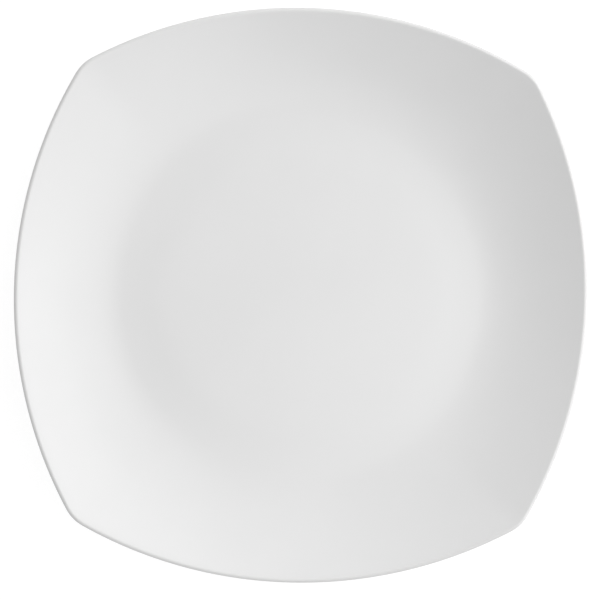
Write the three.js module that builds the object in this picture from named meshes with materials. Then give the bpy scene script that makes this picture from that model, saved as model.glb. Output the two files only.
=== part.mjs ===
// Square salad plate with bowed sides, a round shallow well and a plain rising rim.
// Millimetres, +Z up. The origin is the centre of the foot ring, on the table, and
// X and Y run through the middles of the sides.
//
// The plate is one pressed porcelain body, foot ring included, under a fired glaze.
// The foot is wiped clean before the firing, so the glaze outside the foot ring and
// the glaze inside it never meet: they are two separate skins on one body.

import * as THREE from "three";

// Plan outline, measured over the glaze.
const PLATE_WIDTH = 216; // between the middles of opposite sides
const SIDE_RADIUS = 165; // bow of each side
const CORNER_RADIUS = 16;

// Rim and lip, measured over the glaze.
const LIP_HEIGHT = 19.5; // table to the top of the lip, at the middle of a side
const CORNER_LIFT = 4; // how much higher the lip stands at a corner
const LIP_THICKNESS = 2.2;
const LIP_SLOPE = THREE.MathUtils.degToRad(28); // of the rim, where it meets the lip

// Well, measured over the glaze.
const WELL_RADIUS = 67.5; // to the foot of the rim
const LEVEL_RADIUS = 47; // the level middle of the well
const WELL_DIP = 0.4; // how far the well sinks from there to the foot of the rim
const FLOOR_THICKNESS = 4.6; // in the middle

// Foot ring.
const FOOT_HEIGHT = 2.4; // table to the glazed underside
const FOOT_WIDTH = 3.4; // at the table, rounded edges included
const FOOT_SET_IN = 1.5; // from the edge of the well to the foot's root
const FOOT_FILLET = 1; // where the foot meets the underside
const FOOT_DRAFT = 0.8; // run of each sloping foot wall
const FOOT_EDGE = 0.4; // rounding beside the face that stands on the table

// Glaze.
const GLAZE = 0.3; // thickness of both skins
const GLAZE_LINE = 0.9; // height above the table at which they stop

// The rim's curve: how far each end runs on straight, as a share of the rim's run.
const EASE_AT_WELL = 0.285;
const EASE_AT_LIP = 0.42;

// Facets of each stretch, round the plan and then along the section.
const SIDE_STEPS = 12;
const CORNER_STEPS = 4;
const DIP_STEPS = 4;
const RIM_STEPS = 8;
const OVER_LIP_STEPS = 4; // down to the lip's widest point
const UNDER_LIP_STEPS = 2;
const UNDERSIDE_STEPS = 6;
const FILLET_STEPS = 2;
const FLAT_STEPS = 1;

const SIDES = 4;
const QUARTER = Math.PI / 2;

// The body's own sizes, under the glaze.
const bodyHalf = PLATE_WIDTH / 2 - GLAZE;
const bodySideRadius = SIDE_RADIUS - GLAZE;
const bodyCornerRadius = CORNER_RADIUS - GLAZE;
const bodyLipRadius = LIP_THICKNESS / 2 - GLAZE;
const undersideLevel = FOOT_HEIGHT + GLAZE;
const wellLevel = FOOT_HEIGHT + FLOOR_THICKNESS - GLAZE;
const dipLevel = wellLevel - WELL_DIP;

// Where the arcs of the outline are struck from. Each corner circle lies on a diagonal
// and touches its two side arcs from inside.
const sideCentre = bodyHalf - bodySideRadius;
const arcGap = bodySideRadius - bodyCornerRadius;
const cornerCentre = (sideCentre + Math.sqrt(2 * arcGap ** 2 - sideCentre ** 2)) / 2;
const sideHalfTurn = Math.atan2(cornerCentre, cornerCentre - sideCentre);
const cornerReach = Math.SQRT2 * cornerCentre + bodyCornerRadius;

// The foot ring's plan radii at the table.
const footOuter = WELL_RADIUS - FOOT_SET_IN - FOOT_FILLET - FOOT_DRAFT;
const footInner = footOuter - FOOT_WIDTH;

const at = (x, y) => new THREE.Vector2(x, y);

// Points along a chain of curves, each with the normal on the left of its direction.
function stations(chain) {
  const found = [];
  const mark = (curve, share) => {
    const along = curve.getTangent(share);
    found.push({ point: curve.getPoint(share), normal: at(-along.y, along.x) });
  };
  for (const [curve, steps] of chain) {
    for (let i = 0; i < steps; i++) mark(curve, i / steps);
  }
  mark(chain.at(-1)[0], 1);
  return found;
}

// The body's plan outline, anticlockwise: a bowed side and a rounded corner, four times.
function outline() {
  const middle = at(0, 0);
  const arc = (centre, radius, from, to) =>
    new THREE.EllipseCurve(centre.x, centre.y, radius, radius, from, to);
  const chain = [];
  for (let i = 0; i < SIDES; i++) {
    const facing = i * QUARTER;
    const side = at(sideCentre, 0).rotateAround(middle, facing);
    const corner = at(cornerCentre, cornerCentre).rotateAround(middle, facing);
    const bend = facing + sideHalfTurn;
    const next = facing + QUARTER - sideHalfTurn;
    chain.push([arc(side, bodySideRadius, facing - sideHalfTurn, bend), SIDE_STEPS]);
    chain.push([arc(corner, bodyCornerRadius, bend, next), CORNER_STEPS]);
  }
  return stations(chain).slice(0, -1);
}

// The curve up to the lip, from the foot of the rim or from the level underside.
function rimCurve(level, lipPoint) {
  const start = at(WELL_RADIUS, level);
  const run = lipPoint.x - start.x;
  const slope = at(Math.cos(LIP_SLOPE), Math.sin(LIP_SLOPE));
  const startPull = at(start.x + EASE_AT_WELL * run, level);
  const lipPull = lipPoint.clone().addScaledVector(slope, -EASE_AT_LIP * run);
  return [start, startPull, lipPull, lipPoint];
}

// One wall of the foot ring: its root on the underside, and a point on it at a height.
function footWall(radius, outward) {
  const root = at(radius + outward * FOOT_DRAFT, undersideLevel);
  const foot = at(radius, 0);
  const onWall = (height) => foot.clone().lerp(root, height / undersideLevel);
  const level = at(root.x + outward * FOOT_FILLET, undersideLevel);
  const fillet = [level, root, onWall(undersideLevel - FOOT_FILLET)];
  const edge = [onWall(FOOT_EDGE), foot, at(radius - outward * FOOT_EDGE, 0)];
  return { fillet, edge, glazeEnd: onWall(GLAZE_LINE) };
}

const line = (from, to) => [new THREE.LineCurve(from, to), FLAT_STEPS];
const rounded = (points) => [new THREE.QuadraticBezierCurve(...points), FILLET_STEPS];

// The body's section along one ray, whose lip lies at this reach from the centre. It
// runs down the dip, over the rim, round the lip and under it to the foot, then across
// the foot and into the recess, in the three stretches that the glaze line divides.
function section(reach) {
  const lift = (CORNER_LIFT * (reach - bodyHalf)) / (cornerReach - bodyHalf);
  const lip = at(reach - bodyLipRadius, LIP_HEIGHT + lift - LIP_THICKNESS / 2);
  const r = bodyLipRadius;
  const lipArc = (from, to) => new THREE.EllipseCurve(lip.x, lip.y, r, r, from, to, true);
  const overLip = lipArc(QUARTER + LIP_SLOPE, 0);
  const underLip = lipArc(0, LIP_SLOPE - QUARTER);
  const top = rimCurve(dipLevel, overLip.getPoint(0));
  const halfway = (LEVEL_RADIUS + WELL_RADIUS) / 2;
  const dip = [at(LEVEL_RADIUS, wellLevel), at(halfway, wellLevel), at(halfway, dipLevel), top[0]];
  const under = rimCurve(undersideLevel, underLip.getPoint(1)).reverse();
  const outer = footWall(footOuter, 1);
  const inner = footWall(footInner, -1);

  const coated = [
    [new THREE.CubicBezierCurve(...dip), DIP_STEPS],
    [new THREE.CubicBezierCurve(...top), RIM_STEPS],
    [overLip, OVER_LIP_STEPS],
    [underLip, UNDER_LIP_STEPS],
    [new THREE.CubicBezierCurve(...under), UNDERSIDE_STEPS],
    line(under.at(-1), outer.fillet[0]),
    rounded(outer.fillet),
    line(outer.fillet[2], outer.glazeEnd),
  ];
  const bare = [
    line(outer.glazeEnd, outer.edge[0]),
    rounded(outer.edge),
    line(outer.edge[2], inner.edge[2]),
    rounded([...inner.edge].reverse()),
    line(inner.edge[0], inner.glazeEnd),
  ];
  const recess = [
    line(inner.glazeEnd, inner.fillet[2]),
    rounded([...inner.fillet].reverse()),
  ];
  return { coated: stations(coated), bare: stations(bare), recess: stations(recess) };
}

const rays = outline().map(({ point }) => ({
  direction: point.clone().normalize(),
  section: section(point.length()),
}));

// The rings that a stretch of the section makes round the plate, raised off the body.
function rings(stretch, raise) {
  return rays[0].section[stretch].map((_, i) =>
    rays.map((ray) => {
      const { point, normal } = ray.section[stretch][i];
      const across = point.x + raise * normal.x;
      const height = point.y + raise * normal.y;
      return new THREE.Vector3(ray.direction.x * across, ray.direction.y * across, height);
    }),
  );
}

// Triangles between neighbouring rings, facing out of the body.
function strips(ringList) {
  return ringList.slice(1).flatMap((ring, i) =>
    ring.flatMap((point, j) => {
      const before = ringList[i];
      const next = (j + 1) % ring.length;
      return [before[j], point, ring[next], before[j], ring[next], before[next]];
    }),
  );
}

// The level disc inside a ring, facing up or down.
function disc(ring, facingUp) {
  const centre = new THREE.Vector3(0, 0, ring[0].z);
  return ring.flatMap((point, j) => {
    const next = ring[(j + 1) % ring.length];
    return facingUp ? [centre, point, next] : [centre, next, point];
  });
}

const turnedOver = (triangles) => [...triangles].reverse();

// The skin over the well, rim, lip and underside, and the one inside the foot ring.
function faceSkin(raise) {
  const ringList = rings("coated", raise);
  return [...disc(ringList[0], true), ...strips(ringList)];
}
function recessSkin(raise) {
  const ringList = rings("recess", raise);
  return [...strips(ringList), ...disc(ringList.at(-1), false)];
}

// The edge of each skin, where it stops on the foot ring.
const coatEdge = strips([rings("coated", GLAZE).at(-1), rings("coated", 0).at(-1)]);
const recessEdge = strips([rings("recess", 0)[0], rings("recess", GLAZE)[0]]);

const porcelain = new THREE.MeshStandardMaterial({ color: 0xe9e3d8, roughness: 0.85, metalness: 0 });
const whiteGlaze = new THREE.MeshStandardMaterial({ color: 0xececea, roughness: 0.25, metalness: 0 });

function piece(name, triangles, material) {
  const mesh = new THREE.Mesh(new THREE.BufferGeometry().setFromPoints(triangles), material);
  mesh.geometry.computeVertexNormals();
  mesh.name = name;
  return mesh;
}

const plate = new THREE.Group();
plate.name = "square_salad_plate";
plate.add(
  piece(
    "porcelain_body",
    [...faceSkin(0), ...strips(rings("bare", 0)), ...recessSkin(0)],
    porcelain,
  ),
  piece("glaze_coat", [...faceSkin(GLAZE), ...coatEdge, ...turnedOver(faceSkin(0))], whiteGlaze),
  piece(
    "foot_recess_glaze",
    [...recessSkin(GLAZE), ...recessEdge, ...turnedOver(recessSkin(0))],
    whiteGlaze,
  ),
);

export default plate;
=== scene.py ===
"""A white square porcelain salad plate, on a plain studio floor.

The plate has bowed sides, lifted rounded corners, a round shallow well and a rim that rises to a
rounded lip. It is made of three pieces: the fired porcelain with its foot ring, the glaze over its
face and back, and the glaze inside the foot ring. Lengths are in metres, +Z is up, and the origin is
the centre of the foot ring on the table. X and Y run through the middles of the sides.
"""

import logging
import math
from collections.abc import Sequence
from dataclasses import dataclass, field, replace
from enum import Enum
from itertools import pairwise

import bpy
import numpy as np
from mathutils import Matrix, Vector


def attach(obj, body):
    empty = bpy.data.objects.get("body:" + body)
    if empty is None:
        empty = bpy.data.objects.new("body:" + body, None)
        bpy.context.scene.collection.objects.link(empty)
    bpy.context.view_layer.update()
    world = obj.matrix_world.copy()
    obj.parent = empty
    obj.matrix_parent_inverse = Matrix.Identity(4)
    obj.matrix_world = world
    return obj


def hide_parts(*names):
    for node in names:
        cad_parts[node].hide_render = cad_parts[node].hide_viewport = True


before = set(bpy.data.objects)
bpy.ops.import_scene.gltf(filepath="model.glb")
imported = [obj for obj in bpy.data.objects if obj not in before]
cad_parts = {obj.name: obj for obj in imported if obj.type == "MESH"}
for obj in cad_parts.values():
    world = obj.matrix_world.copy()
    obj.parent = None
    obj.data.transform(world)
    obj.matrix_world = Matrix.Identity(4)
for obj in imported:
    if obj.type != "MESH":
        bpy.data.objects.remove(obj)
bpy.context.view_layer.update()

LOG = logging.getLogger("salad_plate")
BODY = "root"
MM = 0.001
RIGHT_ANGLE = math.pi / 2
THIN_GLAZE = "thin_glaze"
CERAMIC_IOR = 1.5

Tone = tuple[float, float, float]
Span = tuple[float, float]


class Piece(Enum):
    """The plate's pieces, each with the solid that it stands for."""

    PORCELAIN = "porcelain_body"
    COAT = "glaze_coat"
    RECESS = "foot_recess_glaze"


class Slot(Enum):
    """The record's finishes."""

    BARE_PORCELAIN = "bare_porcelain"
    WHITE_GLAZE = "white_glaze"


class Stretch(Enum):
    """The three stretches that the glaze line divides the plate's section into."""

    COATED = "coated"
    BARE = "bare"
    RECESS = "recess"


def bezier(points: Sequence[np.ndarray], steps: int) -> np.ndarray:
    """Samples a Bezier curve on every ray at once, leaving its last point to the next curve.

    Args:
        points: control points, each of shape (rays, 2): distance from the axis, and height.
        steps: number of points wanted.

    Returns:
        Points of shape (steps, rays, 2).
    """
    share = np.linspace(0.0, 1.0, steps, endpoint=False)[:, None, None]
    layer = [point[None] for point in points]
    while len(layer) > 1:
        layer = [(1 - share) * a + share * b for a, b in pairwise(layer)]
    return layer[0]


def arc(centre: np.ndarray, radius: float, start: float, end: float, steps: int) -> np.ndarray:
    """Samples a circular arc on every ray at once, leaving its last point to the next curve.

    Args:
        centre: the arc's centres, of shape (rays, 2).
        radius: the arc's radius.
        start: angle of the first point, in radians.
        end: angle at which the arc stops.
        steps: number of points wanted.

    Returns:
        Points of shape (steps, rays, 2).
    """
    turn = np.linspace(start, end, steps, endpoint=False)
    spoke = radius * np.stack([np.cos(turn), np.sin(turn)], axis=-1)
    return centre[None] + spoke[:, None]


def outward(points: np.ndarray) -> np.ndarray:
    """Finds the direction out of the porcelain along a section.

    Args:
        points: the section, of shape (stations, rays, 2), run with the porcelain on its right.

    Returns:
        Unit directions of the same shape.
    """
    along = np.gradient(points, axis=0)
    left = np.stack([-along[..., 1], along[..., 0]], axis=-1)
    return left / np.linalg.norm(left, axis=-1, keepdims=True)


def closed_rings(name: str, rings: np.ndarray, thin: np.ndarray | None = None) -> bpy.types.Object:
    """Makes a smooth closed mesh from rings, with a pole on the axis at each end.

    Args:
        name: the object's name.
        rings: points of shape (rings, rays, 3), anticlockwise, run with the inside on their right.
        thin: how thin the glaze is at each of those points, for a glaze skin.

    Returns:
        The new object, linked to the scene.
    """
    count, rays, _ = rings.shape
    poles = np.array([[0.0, 0.0, rings[0, 0, 2]], [0.0, 0.0, rings[-1, 0, 2]]])
    first_pole = count * rays
    here = np.arange(rays)
    after = (here + 1) % rays
    offsets = (np.arange(count - 1) * rays)[:, None]
    corners = [offsets + here, offsets + here + rays, offsets + after + rays, offsets + after]
    quads = np.stack(corners, axis=-1).reshape(-1, 4)
    last = (count - 1) * rays
    start_fan = np.stack([np.full(rays, first_pole), here, after], axis=-1)
    end_fan = np.stack([np.full(rays, first_pole + 1), last + after, last + here], axis=-1)
    faces = [*quads.tolist(), *start_fan.tolist(), *end_fan.tolist()]
    mesh = bpy.data.meshes.new(name)
    mesh.from_pydata(np.concatenate([rings.reshape(-1, 3), poles]).tolist(), [], faces)
    mesh.shade_smooth()
    if thin is not None:
        marks = mesh.attributes.new(THIN_GLAZE, "FLOAT", "POINT")
        marks.data.foreach_set("value", np.append(thin.ravel(), np.zeros(len(poles))))
    piece = bpy.data.objects.new(name, mesh)
    bpy.context.scene.collection.objects.link(piece)
    return piece


class NodeBench:
    """A short way to lay out the nodes of a material or of the world."""

    def __init__(self, tree: bpy.types.NodeTree) -> None:
        """Empties a node tree, ready for new nodes."""
        self.tree = tree
        tree.nodes.clear()

    def add(
        self, kind: str, inputs: dict[str, object] | None = None, **settings: object
    ) -> bpy.types.Node:
        """Adds a node.

        Args:
            kind: the node's type name.
            inputs: constant values for its sockets, by name.
            settings: values for its own properties.

        Returns:
            The new node.
        """
        node = self.tree.nodes.new(kind)
        for name, value in settings.items():
            setattr(node, name, value)
        for name, value in (inputs or {}).items():
            node.inputs[name].default_value = value
        return node

    def link(self, source: bpy.types.NodeSocket, target: bpy.types.NodeSocket) -> None:
        """Joins an output socket to an input socket."""
        self.tree.links.new(source, target)

    def output(self, kind: str, surface: bpy.types.NodeSocket) -> None:
        """Ends the tree in an output node of this kind."""
        self.link(surface, self.add(kind).inputs["Surface"])

    def noise(self, place: bpy.types.NodeSocket, scale: float, detail: float) -> bpy.types.NodeSocket:
        """Adds a noise pattern.

        Args:
            place: the coordinates that it follows.
            scale: patches to the metre.
            detail: how many finer layers it has.

        Returns:
            The socket with its value, from 0 to 1.
        """
        node = self.add("ShaderNodeTexNoise", {"Scale": scale, "Detail": detail})
        self.link(place, node.inputs["Vector"])
        return node.outputs["Fac"]

    def ramp(
        self, value: bpy.types.NodeSocket, reads: Span, tones: tuple[Tone, Tone]
    ) -> bpy.types.NodeSocket:
        """Adds a colour ramp between two tones.

        Args:
            value: what the ramp reads.
            reads: the range that it is read over.
            tones: the tone at each end of that range.

        Returns:
            The socket with its colour.
        """
        node = self.add("ShaderNodeValToRGB")
        node.color_ramp.interpolation = "EASE"
        for element, place, tone in zip(node.color_ramp.elements, reads, tones):
            element.position = place
            element.color = (*tone, 1.0)
        self.link(value, node.inputs["Fac"])
        return node.outputs["Color"]

    def spread(self, value: bpy.types.NodeSocket, reads: Span, gives: Span) -> bpy.types.NodeSocket:
        """Adds a map from one range of values to another.

        Args:
            value: what is mapped.
            reads: the range that it is read over.
            gives: the range that comes out.

        Returns:
            The socket with the mapped value.
        """
        ends = {"From Min": reads[0], "From Max": reads[1], "To Min": gives[0], "To Max": gives[1]}
        node = self.add("ShaderNodeMapRange", ends, interpolation_type="SMOOTHSTEP")
        self.link(value, node.inputs["Value"])
        return node.outputs["Result"]

    def bump(
        self, height: bpy.types.NodeSocket, depth: float, under: bpy.types.NodeSocket | None = None
    ) -> bpy.types.NodeSocket:
        """Adds a fine relief.

        Args:
            height: its pattern, from 0 to 1.
            depth: its real height.
            under: the relief that it lies on, if any.

        Returns:
            The socket with the surface's direction.
        """
        node = self.add("ShaderNodeBump", {"Strength": 1.0, "Distance": depth})
        self.link(height, node.inputs["Height"])
        if under is not None:
            self.link(under, node.inputs["Normal"])
        return node.outputs["Normal"]

    def mix(
        self, share: bpy.types.NodeSocket, first: bpy.types.NodeSocket, tone: Tone
    ) -> bpy.types.NodeSocket:
        """Mixes a colour with a plain tone.

        Args:
            share: how much of the tone there is.
            first: the colour that is mixed.
            tone: the plain tone.

        Returns:
            The socket with the mixed colour.
        """
        node = self.add("ShaderNodeMixRGB", {"Color2": (*tone, 1.0)})
        self.link(share, node.inputs["Fac"])
        self.link(first, node.inputs["Color1"])
        return node.outputs["Color"]

    def ceramic(
        self,
        tone: bpy.types.NodeSocket,
        roughness: bpy.types.NodeSocket,
        relief: bpy.types.NodeSocket,
    ) -> None:
        """Ends a material's tree in a fired ceramic surface.

        Args:
            tone: its colour.
            roughness: how far it is from a mirror, from 0 to 1.
            relief: its direction, with the fine relief on it.
        """
        surface = self.add("ShaderNodeBsdfPrincipled", {"IOR": CERAMIC_IOR})
        self.link(tone, surface.inputs["Base Color"])
        self.link(roughness, surface.inputs["Roughness"])
        self.link(relief, surface.inputs["Normal"])
        self.output("ShaderNodeOutputMaterial", surface.outputs["BSDF"])

    def lit_or_seen(
        self, lighting: bpy.types.NodeSocket, seen: bpy.types.NodeSocket
    ) -> bpy.types.NodeSocket:
        """Lights the plate with one shader and shows the camera another, in gloss and glass too.

        Args:
            lighting: the shader that lights the plate.
            seen: the shader that the camera sees.

        Returns:
            The socket with both of them.
        """
        path = self.add("ShaderNodeLightPath")
        total = path.outputs["Is Camera Ray"]
        for other in ("Is Glossy Ray", "Is Transmission Ray"):
            step = self.add("ShaderNodeMath", operation="ADD", use_clamp=True)
            self.link(total, step.inputs[0])
            self.link(path.outputs[other], step.inputs[1])
            total = step.outputs["Value"]
        either = self.add("ShaderNodeMixShader")
        self.link(total, either.inputs["Fac"])
        self.link(lighting, either.inputs[1])
        self.link(seen, either.inputs[2])
        return either.outputs["Shader"]


def new_material(name: str) -> tuple[bpy.types.Material, NodeBench]:
    """Makes an empty node material.

    Args:
        name: the material's name.

    Returns:
        The material, and the bench for its nodes.
    """
    material = bpy.data.materials.new(name)
    material.use_nodes = True
    return material, NodeBench(material.node_tree)


@dataclass(frozen=True)
class GlazeFinish:
    """White glazed porcelain: soft in its gloss, with the faint unevenness of a dipped, fired glaze."""

    name: str = "white_glaze_finish"
    pooled_tone: Tone = (0.835, 0.835, 0.835)
    even_tone: Tone = (0.82, 0.82, 0.82)
    thin_tone: Tone = (0.8, 0.799, 0.796)
    gloss: Span = (0.18, 0.26)
    pooling_scale: float = 26.0
    pooling_detail: float = 3.0
    pooling_reads: Span = (0.2, 0.8)
    ripple_scale: float = 55.0
    ripple_detail: float = 1.0
    ripple_height: float = 0.015 * MM
    peel_scale: float = 700.0
    peel_detail: float = 2.0
    peel_height: float = 0.001 * MM

    def material(self) -> bpy.types.Material:
        """Makes the finish.

        Returns:
            The finish as a node material.
        """
        material, bench = new_material(self.name)
        place = bench.add("ShaderNodeTexCoord").outputs["Object"]
        thin = bench.add("ShaderNodeAttribute", attribute_name=THIN_GLAZE).outputs["Fac"]
        pooling = bench.noise(place, self.pooling_scale, self.pooling_detail)
        tone = bench.ramp(pooling, self.pooling_reads, (self.even_tone, self.pooled_tone))
        ripple = bench.noise(place, self.ripple_scale, self.ripple_detail)
        peel = bench.noise(place, self.peel_scale, self.peel_detail)
        bench.ceramic(
            tone=bench.mix(thin, tone, self.thin_tone),
            roughness=bench.spread(pooling, self.pooling_reads, self.gloss),
            relief=bench.bump(peel, self.peel_height, bench.bump(ripple, self.ripple_height)),
        )
        return material


@dataclass(frozen=True)
class BareFinish:
    """Unglazed fired porcelain: matte and faintly warm, ground smooth where it stands on the table."""

    name: str = "bare_porcelain_finish"
    pale_tone: Tone = (0.84, 0.81, 0.76)
    deep_tone: Tone = (0.77, 0.735, 0.68)
    ground_tone: Tone = (0.70, 0.68, 0.65)
    tone_reads: Span = (0.35, 0.6)
    roughness: Span = (0.72, 0.88)
    roughness_reads: Span = (0.3, 0.7)
    grain_scale: float = 1800.0
    grain_detail: float = 4.0
    grain_height: float = 0.01 * MM
    grinding_scale: float = 4200.0
    grinding_share: float = 0.35
    grinding_height: float = 0.006 * MM
    ground_up_to: float = 0.1 * MM

    def _grinding(self, bench: NodeBench, place: bpy.types.NodeSocket) -> bpy.types.NodeSocket:
        """Adds the rings that grinding leaves on the face that stands on the table.

        Args:
            bench: the finish's nodes.
            place: the piece's own coordinates.

        Returns:
            The socket with the rings' strength, which is 0 above the ground face.
        """
        apart = bench.add("ShaderNodeSeparateXYZ")
        bench.link(place, apart.inputs["Vector"])
        flat = bench.add("ShaderNodeCombineXYZ")
        bench.link(apart.outputs["X"], flat.inputs["X"])
        bench.link(apart.outputs["Y"], flat.inputs["Y"])
        radius = bench.add("ShaderNodeVectorMath", operation="LENGTH")
        bench.link(flat.outputs["Vector"], radius.inputs[0])
        lines = bench.add("ShaderNodeTexNoise", {"Scale": self.grinding_scale}, noise_dimensions="1D")
        bench.link(radius.outputs["Value"], lines.inputs["W"])
        ground = bench.spread(apart.outputs["Z"], (0.0, self.ground_up_to), (self.grinding_share, 0.0))
        strength = bench.add("ShaderNodeMath", operation="MULTIPLY")
        bench.link(lines.outputs["Fac"], strength.inputs[0])
        bench.link(ground, strength.inputs[1])
        return strength.outputs["Value"]

    def material(self) -> bpy.types.Material:
        """Makes the finish.

        Returns:
            The finish as a node material.
        """
        material, bench = new_material(self.name)
        place = bench.add("ShaderNodeTexCoord").outputs["Object"]
        grain = bench.noise(place, self.grain_scale, self.grain_detail)
        tone = bench.ramp(grain, self.tone_reads, (self.deep_tone, self.pale_tone))
        grinding = self._grinding(bench, place)
        bench.ceramic(
            tone=bench.mix(grinding, tone, self.ground_tone),
            roughness=bench.spread(grain, self.roughness_reads, self.roughness),
            relief=bench.bump(grinding, self.grinding_height, bench.bump(grain, self.grain_height)),
        )
        return material


@dataclass(frozen=True)
class Outline:
    """The plate's plan, measured over the glaze: four bowed sides and four rounded corners."""

    width: float = 216 * MM
    side_radius: float = 165 * MM
    corner_radius: float = 16 * MM
    side_steps: int = 64
    corner_steps: int = 16

    def points(self, inset: float) -> np.ndarray:
        """Walks round the plan, anticlockwise from the start of the +X side.

        Args:
            inset: how far inside the glazed edge the walk runs.

        Returns:
            Points of shape (rays, 2).
        """
        side_radius = self.side_radius - inset
        corner_radius = self.corner_radius - inset
        side_centre = self.width / 2 - inset - side_radius
        gap = side_radius - corner_radius
        corner_centre = (side_centre + math.sqrt(2 * gap**2 - side_centre**2)) / 2
        half_turn = math.atan2(corner_centre, corner_centre - side_centre)
        side_from = np.array([[side_centre, 0.0]])
        side = arc(side_from, side_radius, -half_turn, half_turn, self.side_steps)
        corner_from = np.array([[corner_centre, corner_centre]])
        corner = arc(corner_from, corner_radius, half_turn, RIGHT_ANGLE - half_turn, self.corner_steps)
        quarter = np.concatenate([side, corner])[:, 0]
        turns = [np.array([[c, -s], [s, c]]) for c, s in ((1, 0), (0, 1), (-1, 0), (0, -1))]
        return np.concatenate([quarter @ turn.T for turn in turns])


@dataclass(frozen=True)
class Rim:
    """The rim, lip and well, measured over the glaze."""

    lip_height: float = 19.5 * MM
    corner_lift: float = 4 * MM
    lip_thickness: float = 2.2 * MM
    lip_slope: float = math.radians(28)
    well_radius: float = 67.5 * MM
    level_radius: float = 47 * MM
    well_dip: float = 0.4 * MM
    floor_thickness: float = 4.6 * MM
    ease_at_well: float = 0.285
    ease_at_lip: float = 0.42


@dataclass(frozen=True)
class Foot:
    """The foot ring that the plate stands on."""

    height: float = 2.4 * MM
    width: float = 3.4 * MM
    set_in: float = 1.5 * MM
    fillet: float = 1.0 * MM
    draft: float = 0.8 * MM
    edge: float = 0.4 * MM


@dataclass(frozen=True)
class FootWall:
    """One wall of the foot ring on every ray: the curves at its root and edge, and its glaze line."""

    fillet: list[np.ndarray]
    edge: list[np.ndarray]
    glaze_end: np.ndarray


@dataclass(frozen=True)
class Glaze:
    """The fired glaze: its thickness, how it ends on the foot ring, and where it drew thin."""

    thickness: float = 0.3 * MM
    line: float = 0.9 * MM
    line_wander: float = 0.07 * MM
    wander_waves: tuple[int, ...] = (3, 7, 16)
    edge_roll: float = 0.3 * MM
    bead_swell: float = 0.3
    bead_place: float = 0.55 * MM
    bead_width: float = 0.3 * MM
    thin_radius: float = 0.8 * MM
    thin_smoothing: int = 3

    def line_heights(self, angles: np.ndarray, phase: float) -> np.ndarray:
        """Gives the height of the hand-wiped glaze line round the foot.

        Args:
            angles: where round the plate, in radians.
            phase: sets the inside of the foot apart from the outside.

        Returns:
            Heights above the table, one for each angle.
        """
        waves = [np.sin(n * angles + phase * n) / n**0.5 for n in self.wander_waves]
        return self.line + self.line_wander * np.sum(waves, axis=0)

    def depth(self, from_line: np.ndarray) -> np.ndarray:
        """Gives the glaze's thickness, which rolls over to nothing at its line behind a slight bead.

        Args:
            from_line: distance from the glaze line, along the section.

        Returns:
            Thicknesses of the same shape.
        """
        short = np.clip(1 - from_line / self.edge_roll, 0.0, 1.0)
        bead = np.exp(-(((from_line - self.bead_place) / self.bead_width) ** 2))
        return self.thickness * np.sqrt(1 - short**2) * (1 + self.bead_swell * bead)


@dataclass(frozen=True)
class Fineness:
    """How many steps each stretch of the section is drawn with."""

    well: int = 16
    dip: int = 14
    rim: int = 40
    over_lip: int = 14
    under_lip: int = 8
    underside: int = 32
    level: int = 3
    fillet: int = 8
    wall: int = 14
    bare_wall: int = 5
    edge: int = 6
    contact: int = 8


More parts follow.
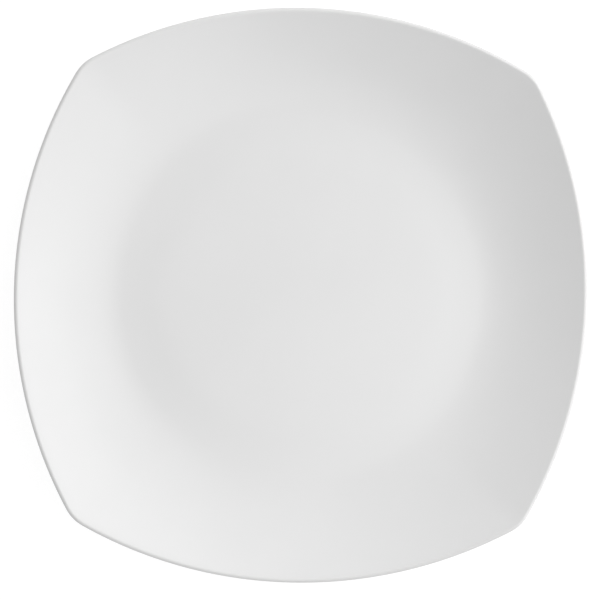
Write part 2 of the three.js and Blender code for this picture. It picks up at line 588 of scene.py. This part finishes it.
@dataclass
class Plate:
    """The plate, drawn as rings round its axis from one section for each ray of its plan."""

    outline: Outline = field(default_factory=Outline)
    rim: Rim = field(default_factory=Rim)
    foot: Foot = field(default_factory=Foot)
    glaze: Glaze = field(default_factory=Glaze)
    fineness: Fineness = field(default_factory=Fineness)
    glaze_finish: GlazeFinish = field(default_factory=GlazeFinish)
    bare_finish: BareFinish = field(default_factory=BareFinish)

    def __post_init__(self) -> None:
        """Works out the rays of the plan and the porcelain's section along each of them."""
        plan = self.outline.points(self.glaze.thickness)
        self.reaches = np.linalg.norm(plan, axis=1)
        self.directions = plan / self.reaches[:, None]
        self.angles = np.arctan2(plan[:, 1], plan[:, 0])
        self.under_level = self.foot.height + self.glaze.thickness
        self.well_level = self.foot.height + self.rim.floor_thickness - self.glaze.thickness
        self.section = self._section()

    def _at(self, reach: float | np.ndarray, height: float | np.ndarray) -> np.ndarray:
        """Places one point of the section on every ray, as an array of shape (rays, 2)."""
        return np.stack(np.broadcast_arrays(reach, height, self.reaches)[:2], axis=-1)

    def _rim_curve(self, level: float, lip_point: np.ndarray) -> list[np.ndarray]:
        """Gives the curve from the foot of the rim, or from the level underside, up to the lip.

        Args:
            level: height of its low end.
            lip_point: where the curve meets the lip, on every ray.

        Returns:
            The curve's four control points, from its low end.
        """
        rim = self.rim
        start = self._at(rim.well_radius, level)
        run = lip_point[:, 0] - rim.well_radius
        slope = np.array([math.cos(rim.lip_slope), math.sin(rim.lip_slope)])
        start_pull = self._at(rim.well_radius + rim.ease_at_well * run, level)
        lip_pull = lip_point - (rim.ease_at_lip * run)[:, None] * slope
        return [start, start_pull, lip_pull, lip_point]

    def _foot_wall(self, radius: float, out: int) -> FootWall:
        """Lays out one wall of the foot ring.

        Args:
            radius: the wall's distance from the axis at the table.
            out: 1 for the outer wall, -1 for the inner one.

        Returns:
            The wall's curves and its glaze line.
        """
        foot = self.foot
        base = self._at(radius, 0.0)
        root = self._at(radius + out * foot.draft, self.under_level)

        def on_wall(height: float | np.ndarray) -> np.ndarray:
            """Gives the wall's points at a height."""
            share = np.broadcast_to(height / self.under_level, self.reaches.shape)[:, None]
            return base + share * (root - base)

        level = self._at(radius + out * (foot.draft + foot.fillet), self.under_level)
        return FootWall(
            fillet=[level, root, on_wall(self.under_level - foot.fillet)],
            edge=[on_wall(foot.edge), base, self._at(radius - out * foot.edge, 0.0)],
            glaze_end=on_wall(self.glaze.line_heights(self.angles, float(out))),
        )

    def _section(self) -> dict[Stretch, np.ndarray]:
        """Draws the porcelain's section along every ray.

        Returns:
            Points of shape (stations, rays, 2) for each stretch, both its ends included.
        """
        rim, foot, steps = self.rim, self.foot, self.fineness
        spread = self.reaches.max() - self.reaches.min()
        lift = rim.corner_lift * (self.reaches - self.reaches.min()) / spread
        lip_radius = rim.lip_thickness / 2 - self.glaze.thickness
        lip = self._at(self.reaches - lip_radius, rim.lip_height + lift - rim.lip_thickness / 2)
        across_lip = lip_radius * np.array([-math.sin(rim.lip_slope), math.cos(rim.lip_slope)])
        top = self._rim_curve(self.well_level - rim.well_dip, lip + across_lip)
        under = self._rim_curve(self.under_level, lip - across_lip)[::-1]
        outer_radius = rim.well_radius - foot.set_in - foot.fillet - foot.draft
        outer = self._foot_wall(outer_radius, 1)
        inner = self._foot_wall(outer_radius - foot.width, -1)

        level_end = self._at(rim.level_radius, self.well_level)
        halfway = (rim.level_radius + rim.well_radius) / 2
        dip_pulls = [self._at(halfway, self.well_level), self._at(halfway, top[0][:, 1])]
        coated = [
            bezier([self._at(0.0, self.well_level), level_end], steps.well)[1:],
            bezier([level_end, *dip_pulls, top[0]], steps.dip),
            bezier(top, steps.rim),
            arc(lip, lip_radius, RIGHT_ANGLE + rim.lip_slope, 0.0, steps.over_lip),
            arc(lip, lip_radius, 0.0, rim.lip_slope - RIGHT_ANGLE, steps.under_lip),
            bezier(under, steps.underside),
            bezier([under[-1], outer.fillet[0]], steps.level),
            bezier(outer.fillet, steps.fillet),
            bezier([outer.fillet[2], outer.glaze_end], steps.wall),
            outer.glaze_end[None],
        ]
        bare = [
            bezier([outer.glaze_end, outer.edge[0]], steps.bare_wall),
            bezier(outer.edge, steps.edge),
            bezier([outer.edge[2], inner.edge[2]], steps.contact),
            bezier(inner.edge[::-1], steps.edge),
            bezier([inner.edge[0], inner.glaze_end], steps.bare_wall),
            inner.glaze_end[None],
        ]
        recess = [
            bezier([inner.glaze_end, inner.fillet[2]], steps.wall),
            bezier(inner.fillet[::-1], steps.fillet),
            bezier([inner.fillet[0], self._at(0.0, self.under_level)], steps.well),
        ]
        return {
            Stretch.COATED: np.concatenate(coated),
            Stretch.BARE: np.concatenate(bare),
            Stretch.RECESS: np.concatenate(recess),
        }

    def _glaze_depth(self, stretch: Stretch) -> np.ndarray:
        """Gives the thickness of the glaze along a glazed stretch of the section.

        Args:
            stretch: the coated stretch, which ends at the glaze line, or the recess, which starts there.

        Returns:
            Thicknesses of shape (stations, rays).
        """
        lengths = np.linalg.norm(np.diff(self.section[stretch], axis=0), axis=-1)
        walked = np.concatenate([np.zeros_like(lengths[:1]), np.cumsum(lengths, axis=0)])
        return self.glaze.depth(walked[-1] - walked if stretch is Stretch.COATED else walked)

    def _glazed(self, stretch: Stretch) -> np.ndarray:
        """Raises a glazed stretch by the glaze on it, as points of shape (stations, rays, 2)."""
        points = self.section[stretch]
        return points + self._glaze_depth(stretch)[..., None] * outward(points)

    def _thinness(self, stretch: Stretch) -> np.ndarray:
        """Finds where the glaze drew thin in the kiln: round outward edges, and at the glaze line.

        Args:
            stretch: a glazed stretch of the section.

        Returns:
            Shares of shape (stations, rays), from 0 for full glaze to 1 for none.
        """
        along = np.gradient(self.section[stretch], axis=0)
        heading = np.unwrap(np.arctan2(along[..., 1], along[..., 0]), axis=0)
        bend = -np.gradient(heading, axis=0) / np.linalg.norm(along, axis=-1)
        drawn = np.clip(bend * self.glaze.thin_radius, 0.0, 1.0)
        for _ in range(self.glaze.thin_smoothing):
            padded = np.concatenate([drawn[:1], drawn, drawn[-1:]])
            drawn = (padded[:-2] + 2 * padded[1:-1] + padded[2:]) / 4
        at_line = 1 - self._glaze_depth(stretch) / self.glaze.thickness
        return np.clip(np.maximum(drawn, at_line), 0.0, 1.0)

    def _rings(self, section: np.ndarray) -> np.ndarray:
        """Turns a section into rings of points round the plate, of shape (stations, rays, 3)."""
        flat = section[..., :1] * self.directions[None]
        return np.concatenate([flat, section[..., 1:]], axis=-1)

    def _build_porcelain(self) -> bpy.types.Object:
        """Builds the fired porcelain, foot ring included.

        Returns:
            The piece, as one closed mesh.
        """
        coated, bare, recess = (self.section[stretch] for stretch in Stretch)
        section = np.concatenate([coated, bare[1:-1], recess])
        return closed_rings(Piece.PORCELAIN.value + "_fine", self._rings(section))

    def _build_coat(self) -> bpy.types.Object:
        """Builds the glaze over the face and back: out along its surface, back along the porcelain.

        Returns:
            The piece, as one closed mesh.
        """
        section = self.section[Stretch.COATED]
        skin = np.concatenate([self._glazed(Stretch.COATED), section[-2::-1]])
        thin = np.concatenate([self._thinness(Stretch.COATED), np.zeros_like(section[1:, :, 0])])
        return closed_rings(Piece.COAT.value + "_fine", self._rings(skin), thin)

    def _build_recess(self) -> bpy.types.Object:
        """Builds the glaze inside the foot ring: out along the porcelain, back along its surface.

        Returns:
            The piece, as one closed mesh.
        """
        section = self.section[Stretch.RECESS]
        skin = np.concatenate([section[:0:-1], self._glazed(Stretch.RECESS)])
        thin = np.concatenate([np.zeros_like(section[1:, :, 0]), self._thinness(Stretch.RECESS)])
        return closed_rings(Piece.RECESS.value + "_fine", self._rings(skin), thin)

    def _dress(
        self, piece: bpy.types.Object, kind: Piece, material: bpy.types.Material
    ) -> bpy.types.Object:
        """Gives a piece its finish and its place on the plate.

        Args:
            piece: the mesh object.
            kind: which piece of the plate it is.
            material: its finish.

        Returns:
            The same object.
        """
        piece.data.materials.append(material)
        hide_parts(kind.value)
        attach(piece, BODY)
        return piece

    def build(self) -> list[bpy.types.Object]:
        """Builds the plate's pieces and dresses them.

        Returns:
            The pieces: the porcelain, and the two glaze skins.
        """
        glaze = self.glaze_finish.material()
        bare = self.bare_finish.material()
        return [
            self._dress(self._build_porcelain(), Piece.PORCELAIN, bare),
            self._dress(self._build_coat(), Piece.COAT, glaze),
            self._dress(self._build_recess(), Piece.RECESS, glaze),
        ]


@dataclass(frozen=True)
class Softbox:
    """A lamp with a soft flat face, aimed at the plate, that the gloss may show or not."""

    name: str
    bearing: float
    elevation: float
    distance: float
    size: Span
    power: float
    in_gloss: bool = True

    def build(self, aim: Vector) -> None:
        """Hangs the lamp.

        Args:
            aim: the point that it faces.
        """
        level = math.cos(self.elevation)
        across = (level * math.cos(self.bearing), level * math.sin(self.bearing))
        away = Vector((*across, math.sin(self.elevation)))
        lamp = bpy.data.lights.new(self.name, "AREA")
        lamp.shape = "RECTANGLE"
        lamp.size, lamp.size_y = self.size
        lamp.energy = self.power
        holder = bpy.data.objects.new(self.name, lamp)
        holder.visible_glossy = self.in_gloss
        holder.location = aim + self.distance * away
        holder.rotation_euler = away.to_track_quat("Z", "Y").to_euler()
        bpy.context.scene.collection.objects.link(holder)


KEY_LAMP = Softbox(
    name="key_softbox",
    bearing=math.radians(27),
    elevation=math.radians(32.5),
    distance=1.0,
    size=(1.2, 0.8),
    power=1.6,
)
WASH_LAMP = replace(
    KEY_LAMP,
    name="key_wash",
    distance=1.2,
    size=(3.6, 1.0),
    power=15.2,
    in_gloss=False,
)
TOP_LAMP = Softbox(
    name="top_panel",
    bearing=math.radians(-42),
    elevation=math.radians(64.5),
    distance=0.6,
    size=(0.4, 0.4),
    power=0.31,
)


@dataclass(frozen=True)
class Studio:
    """A white floor under an even sky, with a softbox and a wide wash at the right and a weak top lamp.

    The gloss shows the softbox and not the wash, so that the white glaze doesn't burn out from any side.
    """

    floor_radius: float = 3.0
    floor_sides: int = 96
    floor_tone: Tone = (0.9, 0.9, 0.9)
    seen_floor_tone: Tone = (0.26, 0.26, 0.26)
    seen_floor_glow: float = 0.868
    sky_tone: Tone = (1.0, 1.0, 1.0)
    sky_light: float = 0.51
    seen_sky_light: float = 1.0
    lamps: tuple[Softbox, ...] = (KEY_LAMP, WASH_LAMP, TOP_LAMP)
    aim: tuple[float, float, float] = (0.0, 0.0, 10 * MM)

    def build(self) -> None:
        """Sets up the floor, the sky and the lamps."""
        self._build_floor()
        self._build_sky()
        for lamp in self.lamps:
            lamp.build(Vector(self.aim))

    def _floor_paper(self) -> bpy.types.Material:
        """Makes the floor's paper, which stays white to the eye but keeps the plate's shadow.

        Returns:
            The paper as a node material.
        """
        material, bench = new_material("studio_floor_paper")
        lighting = bench.add("ShaderNodeBsdfDiffuse", {"Color": (*self.floor_tone, 1.0)})
        shaded = bench.add("ShaderNodeBsdfDiffuse", {"Color": (*self.seen_floor_tone, 1.0)})
        glow = bench.add("ShaderNodeEmission", {"Strength": self.seen_floor_glow})
        seen = bench.add("ShaderNodeAddShader")
        bench.link(shaded.outputs["BSDF"], seen.inputs[0])
        bench.link(glow.outputs["Emission"], seen.inputs[1])
        either = bench.lit_or_seen(lighting.outputs["BSDF"], seen.outputs["Shader"])
        bench.output("ShaderNodeOutputMaterial", either)
        return material

    def _build_floor(self) -> None:
        """Lays the floor as a wide disc."""
        turns = [2 * math.pi * i / self.floor_sides for i in range(self.floor_sides)]
        edge = [(self.floor_radius * math.cos(t), self.floor_radius * math.sin(t), 0.0) for t in turns]
        mesh = bpy.data.meshes.new("studio_floor")
        mesh.from_pydata(edge, [], [list(range(self.floor_sides))])
        mesh.materials.append(self._floor_paper())
        floor = bpy.data.objects.new("studio_floor", mesh)
        bpy.context.scene.collection.objects.link(floor)

    def _build_sky(self) -> None:
        """Makes the sky that lights the plate from all round, and that shows as plain white."""
        world = bpy.data.worlds.new("studio_sky")
        world.use_nodes = True
        bench = NodeBench(world.node_tree)
        white = (*self.sky_tone, 1.0)
        lighting = bench.add("ShaderNodeBackground", {"Color": white, "Strength": self.sky_light})
        seen = bench.add("ShaderNodeBackground", {"Color": white, "Strength": self.seen_sky_light})
        either = bench.lit_or_seen(lighting.outputs["Background"], seen.outputs["Background"])
        bench.output("ShaderNodeOutputWorld", either)
        bpy.context.scene.world = world


@dataclass(frozen=True)
class PhotoCamera:
    """The photograph's view: nearly straight down, from a little towards the plate's left and back."""

    aim: tuple[float, float, float] = (-2.05 * MM, -1.22 * MM, 17.9 * MM)
    lean_left: float = math.radians(4.7)
    lean_back: float = math.radians(2.4)
    roll: float = math.radians(1.49)
    distance: float = 0.8
    lens: float = 127.8

    def build(self) -> None:
        """Sets up the camera and makes it the scene's own."""
        back = Vector((-math.tan(self.lean_left), math.tan(self.lean_back), 1.0)).normalized()
        right = Vector((0.0, 1.0, 0.0)).cross(back).normalized()
        right = Matrix.Rotation(self.roll, 3, back) @ right
        up = back.cross(right)
        optics = bpy.data.cameras.new("photo_camera")
        optics.lens = self.lens
        camera = bpy.data.objects.new("photo_camera", optics)
        turn = Matrix((right, up, back)).transposed().to_4x4()
        camera.matrix_world = Matrix.Translation(Vector(self.aim) + self.distance * back) @ turn
        bpy.context.scene.collection.objects.link(camera)
        bpy.context.scene.camera = camera


def main() -> None:
    """Builds the camera, the studio and the plate, and reports each piece."""
    logging.basicConfig(level=logging.INFO, format="%(name)s: %(message)s")
    bpy.context.scene.view_settings.view_transform = "Standard"
    PhotoCamera().build()
    Studio().build()
    for piece in Plate().build():
        faces = len(piece.data.polygons)
        LOG.info("%s: %d faces, %s", piece.name, faces, piece.active_material.name)


if __name__ == "__main__":
    main()
